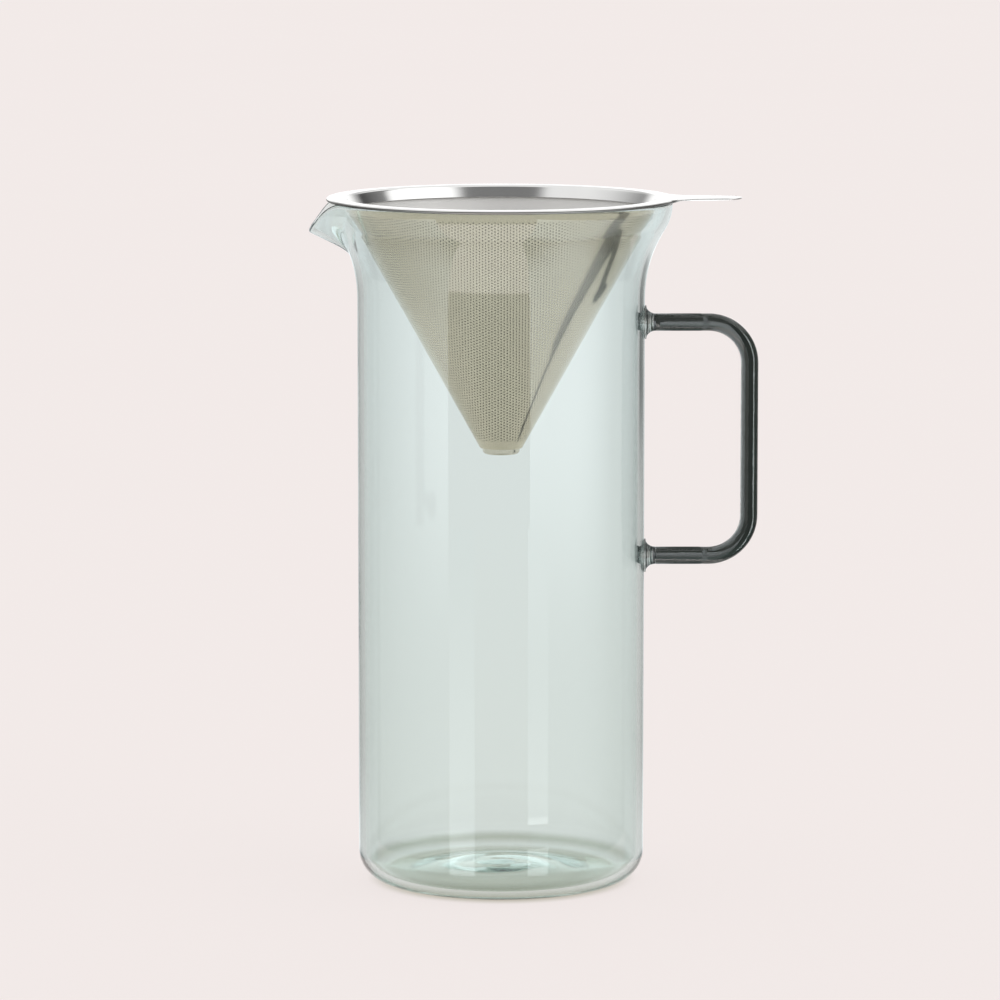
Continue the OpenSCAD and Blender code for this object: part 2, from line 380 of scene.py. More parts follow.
def handle_seal(name, z):
    """A trumpet of glass between the wall and an arm at a height."""
    def ring(r, out):
        return np.stack([np.full_like(rod_turn, out), r * np.cos(rod_turn), z + r * np.sin(rod_turn)], -1)

    def foot(r):
        on_wall = ring(r, 0)
        on_wall[:, 0] = np.sqrt(body_r**2 - on_wall[:, 1] ** 2) + seal_gap
        return on_wall

    rings = [foot(foot_r * s) for s in np.linspace(0.1, 1, 8)]
    for a in np.radians(np.linspace(0, 90, 15)):
        r = foot_r - (foot_r - rod_r) * math.sin(a)
        rings.append(ring(r, body_r + foot_edge + (foot_l - foot_edge) * (1 - math.cos(a))))
    return skin(name, rings, False, (body_r + seal_gap, 0, z), (body_r + foot_l, 0, z))


upper_seal = handle_seal("upper_seal_glass", upper_arm_z)
lower_seal = handle_seal("lower_seal_glass", lower_arm_z)

# %% [markdown]
# ## The filter's collar
# One pressing of polished sheet: a short skirt inside the cone, a small bend, a flat flange that rests on
# the glass, an edge rolled under so that it isn't sharp, and a tab to lift it by. Seen from above, the
# outer edge is a single distance from the axis in each direction, so the tab can be part of the same
# rings as the flange.

# %% Sizes of the filter
collar_low, collar_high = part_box("filter_collar")
cone_low, cone_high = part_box("filter_cone")
cap_low, cap_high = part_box("tip_cap")
collar_t = 0.6 * mm
filter_top = collar_high.z
flange_z = filter_top - collar_t
flange_r = collar_high.y
throat_r = flange_r - 6.4 * mm
half_angle = math.radians(58) / 2
skirt_z = collar_low.z
bend_in_r = 1.4 * mm
layer_gap = 0.05 * mm
mesh_t = 0.25 * mm
sheet_t = 0.5 * mm
mesh_depth = collar_t + layer_gap
sheet_depth = mesh_depth + mesh_t + layer_gap
sheet_top, cone_end = cone_high.z, cone_low.z


def cone_r(depth, z):
    """Radius of the cone at a depth below the skirt's inner face, and a height."""
    return throat_r - (filter_top - z) * math.tan(half_angle) + depth / math.cos(half_angle)


print(f"flange {2 * flange_r / mm:.1f} mm across")
print(f"cone from {sheet_top / mm:.1f} down to {cone_end / mm:.1f} mm")

# %% The edge of flange and tab
tab_tip = collar_high.x
tab_end_r = 6.5 * mm
tab_taper = math.radians(9)
tab_root_r = 10 * mm
tab_middle = tab_tip - tab_end_r
leave = np.array([math.sin(tab_taper), math.cos(tab_taper)])
back = np.array([-leave[1], leave[0]])
tab_corner = np.array([tab_middle, 0]) + tab_end_r * leave
start = tab_corner + tab_root_r * leave
run = -start @ back - math.sqrt((start @ back) ** 2 - start @ start + (flange_r + tab_root_r) ** 2)
root_middle = start + run * back
side_end = tab_corner + run * back
root_end = root_middle * flange_r / (flange_r + tab_root_r)


def around_root(steps):
    """The fillet between the tab's side and the flange."""
    a, b = (math.degrees(math.atan2(*(p - root_middle)[::-1])) for p in (side_end, root_end))
    return arc(root_middle, tab_root_r, a, b, steps)


half_edge = np.vstack([
    arc((tab_middle, 0), tab_end_r, 0, 90 - math.degrees(tab_taper), 20)[:-1],
    line(tab_corner, side_end, 8)[:-1],
    around_root(14),
])
rest_start = math.atan2(root_end[1], root_end[0])
rest_edge = flange_r * np.stack([
    np.cos(np.linspace(rest_start, np.pi, 130)), np.sin(np.linspace(rest_start, np.pi, 130))], -1)[1:]
half_edge = np.vstack([half_edge, rest_edge])
edge = np.vstack([half_edge, (half_edge * [1, -1])[-2:0:-1]])
edge_turn = np.arctan2(edge[:, 1], edge[:, 0])
edge_r = np.hypot(edge[:, 0], edge[:, 1])
print(f"tab reaches {edge_r.max() / mm:.1f} mm, edge has {len(edge)} points")

# %% Collar
# The rolled edge is twice the sheet, and the tab is the bare sheet
on_tab = np.clip((edge_r - flange_r) / (2.5 * mm), 0, 1)
roll = collar_t * (1 - on_tab / 2)
bend_out = bend_in_r * math.tan((math.pi / 2 - half_angle) / 2)
bend_middle = (throat_r + bend_out, filter_top - bend_in_r)
turn_deg = 90 - math.degrees(half_angle)
inner_lip = 0.15 * mm


def collar_ring(r, z):
    """A ring whose radius and height may change round the flange."""
    r, z = np.broadcast_to(r, edge_turn.shape), np.broadcast_to(z, edge_turn.shape)
    return np.stack([r * np.cos(edge_turn), r * np.sin(edge_turn), z], -1)


skirt_up = np.linspace(skirt_z + inner_lip, filter_top - 1.6 * mm, 6)
skirt_down = np.linspace(filter_top - 2 * mm, skirt_z + inner_lip, 5)
inner_bend = arc(bend_middle, bend_in_r - collar_t, 90, 90 + turn_deg, 10)[1:]
collar_rings = [collar_ring(cone_r(0, z), z) for z in skirt_up]
collar_rings += [collar_ring(r, z) for r, z in arc(bend_middle, bend_in_r, 90 + turn_deg, 90, 12)]
for share in np.linspace(0, 1, 9)[1:]:
    collar_rings.append(collar_ring(bend_middle[0] + (edge_r - roll - bend_middle[0]) * share, filter_top))
for a in np.radians(np.linspace(90, -90, 13))[1:]:
    rolled_r, rolled_z = edge_r - roll + roll * math.cos(a), filter_top - roll + roll * math.sin(a)
    collar_rings.append(collar_ring(rolled_r, rolled_z))
hem_r = np.minimum(edge_r - 2 * roll, edge_r - 1.2 * mm)
collar_rings.append(collar_ring(hem_r + 0.1 * mm, filter_top - 2 * roll))
collar_rings.append(collar_ring(hem_r, flange_z))
for share in np.linspace(0, 1, 7)[1:]:
    collar_rings.append(collar_ring(hem_r + (bend_middle[0] - hem_r) * share, flange_z))
collar_rings += [collar_ring(r, z) for r, z in inner_bend]
collar_rings += [collar_ring(cone_r(collar_t, z), z) for z in skirt_down]
collar_rings.append(collar_ring(cone_r(collar_t / 2, skirt_z), skirt_z))
collar = skin("filter_collar_steel", collar_rings, loop=True)

# %% [markdown]
# ## The cone
# A flat sector of perforated sheet is rolled up until its ends lap, and welded along that line. The lap
# runs down the back, as a strip of even width, so the points beside it move closer together towards the
# tip. The woven liner lies inside, and a pressed cup closes the small end.

# %% Perforated cone
lap_w = 3 * mm
round_points = 240


def sheet_ring(depth, z, on_lap):
    """A ring of the sheet. The lap, at the back, stands out by one more sheet."""
    r = cone_r(depth, z)
    lap_half = math.asin(lap_w / 2 / r)
    lap = np.linspace(-lap_half, lap_half, 5)
    rest = np.linspace(lap_half, 2 * np.pi - lap_half, round_points)
    angle = np.concatenate([lap, rest]) + np.pi / 2
    radius = np.full_like(angle, r)
    radius[: len(lap)] += on_lap * sheet_t / math.cos(half_angle)
    return np.stack([radius * np.cos(angle), radius * np.sin(angle), np.full_like(angle, z)], -1)


down = np.linspace(sheet_top, cone_end, 17)
sheet_rings = [sheet_ring(sheet_depth + sheet_t, z, 1) for z in down]
sheet_rings += [sheet_ring(sheet_depth, z, 0) for z in down[::-1]]
cone = skin("perforated_cone", sheet_rings, loop=True)

# %% Woven liner
liner_rings = [turned([(cone_r(mesh_depth + mesh_t, z), z)], full_turn)[0] for z in down]
liner_rings += [turned([(cone_r(mesh_depth, z), z)], full_turn)[0] for z in down[::-1]]
liner = skin("woven_liner", liner_rings, loop=True)

# %% Tip cap
cap_t = 0.5 * mm
cap_round = 1.3 * mm
cap_top, cap_bottom = cap_high.z, cap_low.z
cap_side = cone_r(collar_t, cone_end)
cap_corner = (cap_side - cap_round, cap_bottom + cap_round)
knee = cone_end + cap_t * (1 / math.cos(half_angle) - 1) / math.tan(half_angle)
cap_profile = np.vstack([
    line((0.1 * cap_side, cap_bottom), (cap_corner[0], cap_bottom), 4)[:-1],
    arc(cap_corner, cap_round, -90, 0, 10),
    line((cap_side, cone_end), (cone_r(collar_t, cap_top), cap_top), 4),
    line((cone_r(collar_t - cap_t, cap_top), cap_top), (cap_side - cap_t, knee), 4),
    arc(cap_corner, cap_round - cap_t, 0, -90, 8),
    line((cap_corner[0], cap_bottom + cap_t), (0.1 * cap_side, cap_bottom + cap_t), 4)[1:],
])
cap_rings = turned(cap_profile, full_turn[::3])
cap = skin("tip_cap_steel", cap_rings, False, (0, 0, cap_bottom), (0, 0, cap_bottom + cap_t))

# %% [markdown]
# ## Writing materials as arithmetic
# A pattern such as a lattice of holes is easier to read as a formula than as a web of nodes. A small
# class wraps a socket, so that plus, minus, times and divide add the Math nodes, and one method adds any
# other node.

# %% Sockets with arithmetic


class Value:
    """A socket of a node tree. Arithmetic on it adds the nodes that work the result out."""

    def __init__(self, tree, socket):
        self.tree, self.socket = tree, socket

    def also(self, name):
        """Another output of the same node."""
        return Value(self.tree, self.socket.node.outputs[name])

    def math(self, operation, *others):
        """A Math node on this value and others."""
        return self.tree.node("ShaderNodeMath", {"operation": operation}, dict(enumerate((self, *others))))

    def __add__(self, other):
        return self.math("ADD", other)

    def __sub__(self, other):
        return self.math("SUBTRACT", other)

    def __mul__(self, other):
        return self.math("MULTIPLY", other)

    def __truediv__(self, other):
        return self.math("DIVIDE", other)

    def __rsub__(self, other):
        return self.tree.node("ShaderNodeMath", {"operation": "SUBTRACT"}, {0: other, 1: self})

    def __rtruediv__(self, other):
        return self.tree.node("ShaderNodeMath", {"operation": "DIVIDE"}, {0: other, 1: self})

    __radd__ = __add__
    __rmul__ = __mul__

    def ramp(self, low, high):
        """0 below one value, 1 above the other, and smooth between them."""
        return self.tree.node(
            "ShaderNodeMapRange", {"interpolation_type": "SMOOTHSTEP"},
            {"Value": self, "From Min": low, "From Max": high})

    def off_step(self, step):
        """Signed distance to the nearest multiple of a step."""
        return (self / step - (self / step).math("ROUND")) * step


class Tree:
    """The nodes of a material or of the world."""

    def __init__(self, owner):
        owner.use_nodes = True
        self.owner, self.nodes, self.links = owner, owner.node_tree.nodes, owner.node_tree.links
        self.nodes.clear()

    def node(self, kind, settings=None, sockets=None, output=0):
        """Adds a node: its settings first, then the values or links of its sockets."""
        made = self.nodes.new(kind)
        for name, setting in (settings or {}).items():
            setattr(made, name, setting)
        for name, value in (sockets or {}).items():
            if isinstance(value, Value):
                self.links.new(value.socket, made.inputs[name])
            else:
                made.inputs[name].default_value = value
        return Value(self, made.outputs[output]) if made.outputs else None

    def mix(self, share, first, second):
        """A colour between two colours."""
        return self.node("ShaderNodeMix", {"data_type": "RGBA"}, {0: share, 6: first, 7: second}, 2)

    def place(self):
        """The point on the piece, in metres, as three values."""
        point = self.node("ShaderNodeTexCoord", output="Object")
        split = self.node("ShaderNodeSeparateXYZ", None, {0: point})
        return point, split, split.also("Y"), split.also("Z")

    def noise(self, point, size, detail=3):
        """Soft cloudy noise between 0 and 1, with features of a size in metres."""
        return self.node("ShaderNodeTexNoise", None, {"Vector": point, "Scale": 1 / size, "Detail": detail})

    def bump(self, height, distance):
        """A normal that follows a height between 0 and 1, a distance in metres deep."""
        return self.node("ShaderNodeBump", None, {"Height": height, "Distance": distance, "Strength": 1.0})

    def surface(self, **sockets):
        """The Principled shader, by the names of its sockets with _ for a space."""
        named = {name.replace("_", " "): value for name, value in sockets.items()}
        self.ends = {"Surface": self.node("ShaderNodeBsdfPrincipled", None, named)}

    def absorb(self, colour, density):
        """Colours the glass by its depth."""
        depth = self.node("ShaderNodeVolumeAbsorption", None, {"Color": colour, "Density": density})
        self.ends["Volume"] = depth

    def done(self):
        """Adds the output and gives back what the nodes belong to."""
        self.node("ShaderNodeOutputMaterial", None, self.ends)
        print(f"{self.owner.name}: {len(self.nodes)} nodes")
        return self.owner


def finish(name):
    """An empty material to write nodes in."""
    return Tree(bpy.data.materials.new(name))


# %% [markdown]
# ## Glass
# The tint of real glass is in its depth: thin walls look almost clear, and edges, where one looks along
# the wall, look deeper. So the colour is a volume that absorbs light, not a painted surface. Blown glass
# also has faint waves, which a very shallow bump gives. The skin has a tint as well, and inside the
# round corner of the base a painted shade darkens it. The handle is the same glass with far more smoke
# in it. The seals are pale, but the rod's dark end shows in the middle of their foot and in their neck,
# and a painted shade darkens their upper half.

# %% Carafe glass and smoked glass
glass_ior = 1.47
heel_z = 5 * mm
heel_half = 3 * mm


def glass(name, low_tint, high_tint, heel_shade, smoke, density, wave_size, wave_depth):
    """Glass with a skin tint that shifts upwards and painted shade at the heel, a depth colour and faint
    waves.
    """
    tree = finish(name)
    point, x, y, z = tree.place()
    waves = tree.noise(point, wave_size, 1)
    out = (x * x + y * y).math("SQRT") - floor_r
    up = z - base_corner_r
    from_corner = (out * out + up * up).math("SQRT")
    inner_face = 1 - from_corner.ramp(base_corner_r - 0.7 * wall, base_corner_r - 0.3 * wall)
    at_heel = z.ramp(heel_z - heel_half, heel_z) * (1 - z.ramp(heel_z, heel_z + heel_half))
    # Painted shade: the inner face is darkened in a ring at the round corner of the base.
    heel = at_heel * inner_face * out.ramp(-2 * mm, 1 * mm)
    tint = tree.mix((z / carafe_h).ramp(0, 1), low_tint, high_tint)
    tree.surface(
        Base_Color=tree.mix(heel, tint, heel_shade), Roughness=0.0, IOR=glass_ior,
        Transmission_Weight=1.0, Normal=tree.bump(waves, wave_depth))
    tree.absorb(smoke, density)
    return tree.done()


carafe_finish = glass(
    "carafe_glass", low_tint=(0.906, 0.970, 0.960, 1), high_tint=(0.922, 0.993, 1.0, 1),
    heel_shade=(0.38, 0.43, 0.35, 1), smoke=(0.49, 0.63, 0.585, 1), density=46,
    wave_size=30 * mm, wave_depth=0.06 * mm)
smoked_tint = (0.92, 0.96, 0.94, 1)
smoked_finish = glass(
    "smoked_glass", low_tint=smoked_tint, high_tint=smoked_tint, heel_shade=smoked_tint,
    smoke=(0.06, 0.12, 0.10, 1), density=650, wave_size=12 * mm, wave_depth=0.03 * mm)


def seal_glass():
    """Pale glass, with the dark end of the rod showing in it, and painted shade on its upper half."""
    tree = finish("seal_glass")
    point, x, y, z = tree.place()
    at_upper = z.math("GREATER_THAN", (upper_arm_z + lower_arm_z) / 2)
    up = z - lower_arm_z - at_upper * (upper_arm_z - lower_arm_z)
    from_arm = (y * y + up * up).math("SQRT")
    on_foot = 1 - x.ramp(body_r + 0.5 * mm, body_r + 1 * mm)
    core = (1 - from_arm.ramp(4.4 * mm, 5.0 * mm)) * on_foot
    # The neck shows the rod's dark end. Above the arm the seal is darkened by painted shade.
    neck_and_top_shade = x.ramp(body_r + 2.2 * mm, body_r + 3.2 * mm).math("MAXIMUM", up.ramp(0.5 * mm, 2.5 * mm) * 0.9)
    tint = tree.mix(core.math("MAXIMUM", neck_and_top_shade), (0.93, 0.96, 0.95, 1), (0.03, 0.04, 0.04, 1))
    waves = tree.noise(point, 10 * mm, 1)
    tree.surface(
        Base_Color=tint, Roughness=0.0, IOR=glass_ior, Transmission_Weight=1.0,
        Normal=tree.bump(waves, 0.03 * mm))
    tree.absorb((0.20, 0.25, 0.23, 1), 110)
    return tree.done()


seal_finish = seal_glass()

# %% [markdown]
# ## Polished steel
# The collar and the cap are pressed from bright sheet. Polish leaves hair lines that run round the axis,
# and fingers leave faint smudges, so the roughness wanders a little and a fine bump follows the radius.
# Under the flange the rolled edge gets a painted shade, a dark grey line, and is rougher there.

# %% Polished steel
def polished_steel(name, clean, worn_and_edge_shade):
    """Bright sheet between two colours, hair lines, smudges, and a rough flange underside in painted shade.
    """
    tree = finish(name)
    point, x, y, z = tree.place()
    radius = (x * x + y * y).math("SQRT")
    lines = tree.node("ShaderNodeCombineXYZ", None, {"X": radius, "Y": z})
    hair = tree.noise(lines, 0.25 * mm, 2)
    smudge = tree.noise(point, 14 * mm, 3)
    bright = tree.mix(smudge, clean, worn_and_edge_shade)
    past_bend = radius.ramp(throat_r + 3 * mm, throat_r + 4 * mm)
    on_flange = 1 - radius.ramp(flange_r + 0.3 * mm, flange_r + 2 * mm)
    # Painted shade: the underside of the flange and its rolled edge are darkened, like the gap above the rim.
    under = past_bend * on_flange * (1 - z.ramp(flange_z + 0.2 * mm, flange_z + 0.35 * mm))
    tree.surface(
        Base_Color=tree.mix(under, bright, (0.17, 0.17, 0.16, 1)), Metallic=1.0,
        Roughness=0.08 + smudge * 0.07 + hair * 0.03 + under * 0.3,
        Normal=tree.bump(hair, 0.004 * mm))
    return tree.done()


collar_finish = polished_steel("polished_steel", (0.80, 0.80, 0.79, 1), (0.70, 0.70, 0.69, 1))
cap_finish = polished_steel("warm_polished_steel", (0.72, 0.66, 0.55, 1), (0.60, 0.55, 0.46, 1))

# %% [markdown]
# ## Perforated steel
# The holes were punched in the flat sheet, in staggered rows, before it was rolled. So the lattice is
# laid out on the unrolled sheet: a point's distance from the cone's apex and its turn round the axis,
# times the sine of the half angle, are its polar place on the flat. There a hole is just a distance to
# the nearest lattice point. Modelling fourteen thousand holes would make a far heavier mesh for the same
# look, so they are cut by Alpha, but only in part: the rest of each hole is painted dark as painted
# shade, and the rolled-in edge round it gets a painted shade too.

# %% The unrolled sheet
hole_pitch = 1.2 * mm
hole_r = 0.25 * mm
column = hole_pitch * math.sqrt(3) / 2
plain_top = 3.2 * mm
plain_end = 3.4 * mm


def unrolled(tree):
    """Place on the flat sheet: across and along from the apex, the distance from it, and the point itself."""
    point, x, y, z = tree.place()
    slant = (x * x + y * y).math("SQRT") / math.sin(half_angle)
    turned_by = x.math("ARCTAN2", y * -1) * math.sin(half_angle)
    return slant * turned_by.math("SINE"), slant * turned_by.math("COSINE"), slant, point


def to_slant(z, depth):
    """Distance from the apex along the sheet, for a height and a depth below the skirt."""
    return cone_r(depth, z) / math.sin(half_angle)


def perforated_steel():
    """Bright sheet with a staggered lattice of holes, whose edges are rolled in, and plain margins."""
    tree = finish("perforated_steel")
    across, along, slant, point = unrolled(tree)
    _, x, y, z = tree.place()

    def near(shift):
        """Distance to the nearest hole of one of the two plain lattices that make the staggered one."""
        a = (across + column * 2 * shift).off_step(2 * column)
        b = (along + hole_pitch * shift).off_step(hole_pitch)
        return (a * a + b * b).math("SQRT")

    hole_gap = near(0.0).math("MINIMUM", near(0.5))
    low = to_slant(cone_end, sheet_depth + sheet_t) + plain_end
    high = to_slant(sheet_top, sheet_depth + sheet_t) - plain_top
    field = (1 - slant.ramp(high - 0.1 * mm, high)) * slant.ramp(low, low + 0.1 * mm)
    off_lap = 1 - (1 - x.math("ABSOLUTE").ramp(lap_w, lap_w + 0.1 * mm)) * y.ramp(0, 1 * mm)
    holes = (1 - hole_gap.ramp(hole_r - 0.03 * mm, hole_r + 0.03 * mm)) * field * off_lap
    rolled_in = (1 - hole_gap.ramp(hole_r, hole_r + 0.16 * mm)) * field * off_lap
    smudge = tree.noise(point, 22 * mm, 3)
    grain = tree.noise(point, 0.7 * mm, 2)
    bare = tree.mix(smudge, (0.67, 0.59, 0.45, 1), (0.59, 0.52, 0.39, 1))
    # Painted shade: the rolled-in edge round each hole is darkened.
    worn_and_edge_shade = tree.mix(rolled_in * 0.4, bare, (0.42, 0.37, 0.30, 1))
    # Painted shade: the part of each hole that Alpha leaves is painted dark.
    colour = tree.mix(holes, worn_and_edge_shade, (0.28, 0.25, 0.19, 1))
    tree.surface(
        Base_Color=colour, Metallic=1.0, Roughness=0.07 + smudge * 0.04 + grain * 0.02,
        Alpha=1 - holes * 0.62, Normal=tree.bump(1 - rolled_in, 0.008 * mm))
    return tree.done()


cone_finish = perforated_steel()

# %% [markdown]
# ## Woven steel
# The liner is a plain weave of very fine wire. On the same unrolled sheet, two sets of wires cross: each
# is a rounded ridge, and a wire passes over and under by turns, which a product of two waves gives.

# %% Woven steel
wire_pitch = 0.36 * mm


def woven_steel():
    """Fine wire, woven over and under, with painted shade in the gaps between the wires."""
    tree = finish("woven_steel")
    across, along, _, point = unrolled(tree)
    half_turn = math.pi / wire_pitch
    warp, weft = (across * half_turn).math("SINE"), (along * half_turn).math("SINE")
    over = warp * weft * 0.5 + 0.5
    ridge = warp.math("ABSOLUTE").math("MAXIMUM", weft.math("ABSOLUTE"))
    smudge = tree.noise(point, 18 * mm, 3)
    bare = tree.mix(smudge, (0.90, 0.89, 0.87, 1), (0.82, 0.81, 0.79, 1))
    # Painted shade: the gaps between the wires are darker than the wire.
    colour = tree.mix(ridge.ramp(0.35, 0.8), (0.55, 0.54, 0.52, 1), bare)
    tree.surface(
        Base_Color=colour, Metallic=0.35, Roughness=0.40 + over * 0.12,
        Normal=tree.bump(ridge * 0.6 + over * 0.4, 0.06 * mm))
    return tree.done()


liner_finish = woven_steel()

# %% [markdown]
# ## Putting it on the frame
# Each piece gets its finish, rides on the body that carries it, and stands for its measured solid.

# %% Pieces, finishes and bodies
for piece, material, slot, body, node in (
    (carafe, carafe_finish, "carafe_glass", "carafe", "carafe"),
    (handle, smoked_finish, "smoked_glass", "carafe", "handle"),
    (upper_seal, seal_finish, "carafe_glass", "carafe", "upper_handle_seal"),
    (lower_seal, seal_finish, "carafe_glass", "carafe", "lower_handle_seal"),
    (collar, collar_finish, "polished_steel", "filter", "filter_collar"),
    (cone, cone_finish, "perforated_steel", "filter", "filter_cone"),
    (liner, liner_finish, "woven_steel", "filter", "filter_mesh"),
    (cap, cap_finish, "polished_steel", "filter", "tip_cap"),
):
    piece.data.materials.append(material)
    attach(piece, body)
    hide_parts(node)
    print(f"{piece.name} rides on {body} for {node}")

# %% [markdown]
# ## Studio
# Glass is only seen by what it bends and mirrors. A pale floor runs far back, so that it is also the
# background, and it is dim where the base keeps light off it. The room is a soft dome, bright above and
# dimmer towards the sides, with dark gaps that the polished collar mirrors. Mirrored light passes the
# floor by, except close to the base, and finds the lower half of the dome: as bright as the floor, but
# brighter at steep angles in front. That lays a pale veil on the flare of the mouth.

# %% Floor
floor_half = 12.0
near_half = 0.1
floor_drop = -0.3 * mm
floor_glow = 0.915
floor_tone = (0.890, 0.826, 0.810, 1)
black = (0, 0, 0, 1)


def flat(name, corners, material):
    """A sheet of the studio between four corners."""
    mesh = bpy.data.meshes.new(name)
    mesh.from_pydata(corners, [], [(0, 1, 2, 3)])
    mesh.materials.append(material)
    piece = bpy.data.objects.new(name, mesh)
    bpy.context.scene.collection.objects.link(piece)
    return piece


def only_for(piece, mirrored, through):
    """Hides a piece of the studio from all light but that which was mirrored, or came through glass."""
    piece.visible_camera = piece.visible_diffuse = piece.visible_shadow = False
    piece.visible_glossy, piece.visible_transmission = mirrored, through


def square(half):
    """Corners of a square on the floor."""
    return [(half * x, half * y, floor_drop) for x, y in ((-1, -1), (1, -1), (1, 1), (-1, 1))]


def studio_paper(name, reach=None):
    """Pale paper that glows, but less under the base. With a reach it fades out towards that radius."""
    tree = finish(name)
    spot, x, y, _ = tree.place()
    out = (x * x + y * y).math("SQRT")
    tone = tree.mix(tree.noise(spot, 0.4, 2), floor_tone, (0.884, 0.820, 0.804, 1))
    under_base = 1 - out.ramp(0.76 * body_r, 0.96 * body_r)
    tree.surface(
        Base_Color=tree.mix(0.9, tone, black), Roughness=0.6, Specular_IOR_Level=0.0,
        Emission_Color=tree.mix(under_base, tone, (0.52, 0.485, 0.40, 1)), Emission_Strength=floor_glow,
        Alpha=1 - out.ramp(0.6 * reach, reach) if reach else 1.0)
    return tree.done()


floor = flat("floor", square(floor_half), studio_paper("studio_paper"))
floor.visible_glossy = False
only_for(flat("floor_near_base", square(near_half), studio_paper("paper_near_base", near_half)), True, False)

# %% Room light
room = Tree(bpy.data.worlds.new("studio"))
bpy.context.scene.world = room.owner
toward = room.node("ShaderNodeTexCoord", output="Generated")
aside = room.node("ShaderNodeSeparateXYZ", None, {0: toward})
behind, above = aside.also("Y"), aside.also("Z")
ceiling = above.ramp(0.25, 0.7)
back_glow = behind.ramp(0.75, 0.95) * (1 - above.ramp(0.15, 0.5))
in_front = (1 - aside.math("ABSOLUTE").ramp(0.34, 0.5)) * (1 - behind.ramp(-0.45, -0.3))
front_gap = in_front * above.ramp(0.55, 0.65)
at_side = aside.ramp(0.5, 0.62) * behind.ramp(0.22, 0.36) * (1 - behind.ramp(0.72, 0.8))
side_gap = at_side * above.ramp(0.1, 0.2)
bright_side = aside.ramp(0.3, 0.6) * above.ramp(0.3, 0.5)
upper = 0.36 + ceiling * 0.70 + back_glow * 0.9 + bright_side * 0.5
upper = upper * (1 - front_gap * 0.78) * (1 - side_gap * 0.8)
front_low = (1 - behind.ramp(-0.1, 0.3)) * (1 - above.ramp(-0.40, -0.34))
lower = floor_glow * (1 + front_low * (2.0 + above.ramp(-0.95, -0.8) * 1.4))
ground = 1 - above.ramp(-0.06, -0.02)
backdrop = room.node("ShaderNodeBackground", None, {
    "Color": room.mix(ground, (1, 1, 1, 1), floor_tone), "Strength": upper * (1 - ground) + lower * ground})
room.node("ShaderNodeOutputWorld", None, {"Surface": backdrop})
print("room:", len(room.nodes), "nodes")

# %% [markdown]
# Upright sheets stand round the glass, and only mirrored light finds them. Glowing panels and low strips
# in front draw pale stripes. Cards further back are dim towards the glass, which draws its edges, and lit
# on the other face, which lights the handle's inner side. A small sheet beside the grip gives it one
# bright line.

# %% Screens that only mirrored light finds
screen_h = 0.22
card_turn, card_away, card_w, card_h = 108, 0.066, 0.062, 0.236
strip_h = 0.12
most_glow = 10.0


def screen(name, azimuth, distance, width, low, high, material):
    """An upright sheet between two heights, facing the axis, at an angle in degrees from the front."""
    turn_to = math.radians(azimuth)
    out = np.array([math.sin(turn_to), -math.cos(turn_to), 0])
    side = np.array([out[1], -out[0], 0]) * width / 2
    foot, top = out * distance + low * upright, out * distance + high * upright
    print(f"{name}: {width} by {high - low:.4f} m at {azimuth} degrees")
    return flat(name, [foot - side, foot + side, top + side, top - side], material)


def glow(name, strength, reach=None):
    """A dull surface that glows by a rule for place and face. A reach limits how far off it is found."""
    tree = finish(name)
    _, x, y, z = tree.place()
    away = tree.node("ShaderNodeNewGeometry", output="Backfacing")
    colour = tree.mix(strength(x, y, z, away) / most_glow, black, (0.92, 0.98, 1.0, 1))
    length = tree.node("ShaderNodeLightPath", output="Ray Length")
    tree.surface(
        Base_Color=black, Roughness=1.0, Specular_IOR_Level=0.0, Emission_Color=colour,
        Emission_Strength=most_glow, Alpha=length.math("LESS_THAN", reach) if reach else 1.0)
    return tree.done()


def upright_glow(top, fade_start, fade_end):
    """Strength that fades downwards and to the back."""
    return lambda x, y, z, away: (z.ramp(0.06, 0.17) * 0.75 + 0.25) * (1 - y.ramp(fade_start, fade_end)) * top


def low_glow(end, spot):
    """Strength of a strip: strong at its foot, another strength at its top, and a bright spot low down."""
    def strength(x, y, z, away):
        lower = 4.5 - z.ramp(-2 * mm, 16 * mm) * 2.2 - z.ramp(16 * mm, 80 * mm) * 0.8
        return lower + z.ramp(60 * mm, strip_h) * (end - 1.5) + (1 - z.ramp(15 * mm, 16.5 * mm)) * spot
    return strength


def card_glow(x, y, z, away):
    """Dim towards the glass, but not at the foot and beside the flare, and lit on the other face."""
    inner = 0.6 - z.ramp(0.0, 0.05) * 0.45 + z.ramp(0.203, 0.218) * 0.75 + y.ramp(24 * mm, 36 * mm) * 0.5
    return inner * (1 - away) + away * (y * 20 + 2.4)


def line_glow(x, y, z, away):
    """Dark, but for a bright end on the face towards the grip."""
    return away * x.ramp(line_x - 0.5 * mm, line_x) * 7 + 0.08


